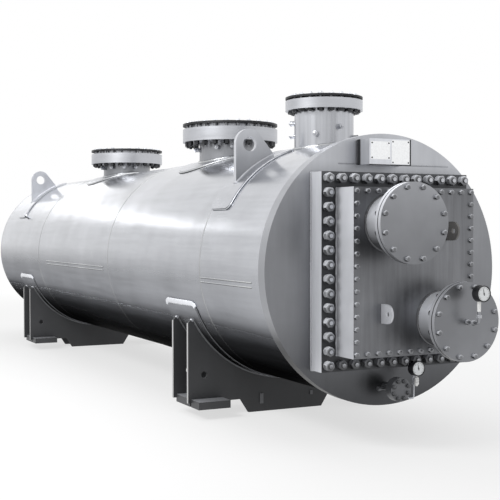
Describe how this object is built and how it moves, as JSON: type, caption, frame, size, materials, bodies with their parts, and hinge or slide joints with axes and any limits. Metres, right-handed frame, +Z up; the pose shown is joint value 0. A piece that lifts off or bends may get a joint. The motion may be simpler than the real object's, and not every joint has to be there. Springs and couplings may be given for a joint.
{
  "type": "shell and tube heat exchanger",
  "caption": "Long horizontal shell and tube heat exchanger on two saddles, with a bolted square header, blinded nozzles, lifting lugs and two small gauges.",
  "frame": {"origin": "on the ground under the vessel's axis, in the middle of the front saddle's first web", "axes": "+X to the right seen from the header end, +Y along the vessel from the header to the rear head, +Z up"},
  "size_m": [1.9298, 9.441, 2.554],
  "materials": {
    "shell_steel": "satin rolled stainless plate",
    "plate_steel": "satin machined plate",
    "header_steel": "satin machined plate",
    "flange_steel": "turned forging",
    "cover_steel": "satin plate",
    "lug_steel": "satin plate",
    "saddle_steel": "satin plate",
    "bracket": "thin folded sheet",
    "gauge": "dark case"
  },
  "bodies": {
    "root": {"blind_gauge": "gauge", "bundle_frame": "header_steel", "cover_pad_eyes": "header_steel", "drain_blind": "flange_steel", "drain_gauge": "gauge", "drain_nozzle": "flange_steel", "end_plate": "plate_steel", "front_lifting_lugs": "lug_steel", "front_lug_pads": "shell_steel", "front_nozzle_cover": "cover_steel", "front_nozzle_flange": "flange_steel", "front_nozzle_neck": "shell_steel", "front_saddle_feet": "saddle_steel", "front_saddle_pad": "saddle_steel", "front_saddle_ribs": "saddle_steel", "front_saddle_webs": "saddle_steel", "header_box": "header_steel", "header_cover": "header_steel", "lower_nozzle_blind": "flange_steel", "lower_nozzle_flange": "flange_steel", "lower_nozzle_neck": "shell_steel", "middle_nozzle_cover": "cover_steel", "middle_nozzle_flange": "flange_steel", "middle_nozzle_neck": "shell_steel", "middle_nozzle_pad": "shell_steel", "plate_bracket": "bracket", "rear_head": "shell_steel", "rear_lifting_lugs": "lug_steel", "rear_lug_pads": "shell_steel", "rear_nozzle_cover": "cover_steel", "rear_nozzle_flange": "flange_steel", "rear_nozzle_neck": "shell_steel", "rear_nozzle_pad": "shell_steel", "rear_saddle_feet": "saddle_steel", "rear_saddle_pad": "saddle_steel", "rear_saddle_ribs": "saddle_steel", "rear_saddle_webs": "saddle_steel", "shell_boss": "shell_steel", "shell_course_front": "shell_steel", "shell_course_rear": "shell_steel", "shell_course_second": "shell_steel", "shell_course_third": "shell_steel", "upper_nozzle_blind": "flange_steel", "upper_nozzle_flange": "flange_steel", "upper_nozzle_neck": "shell_steel"}
  },
  "joints": []
}
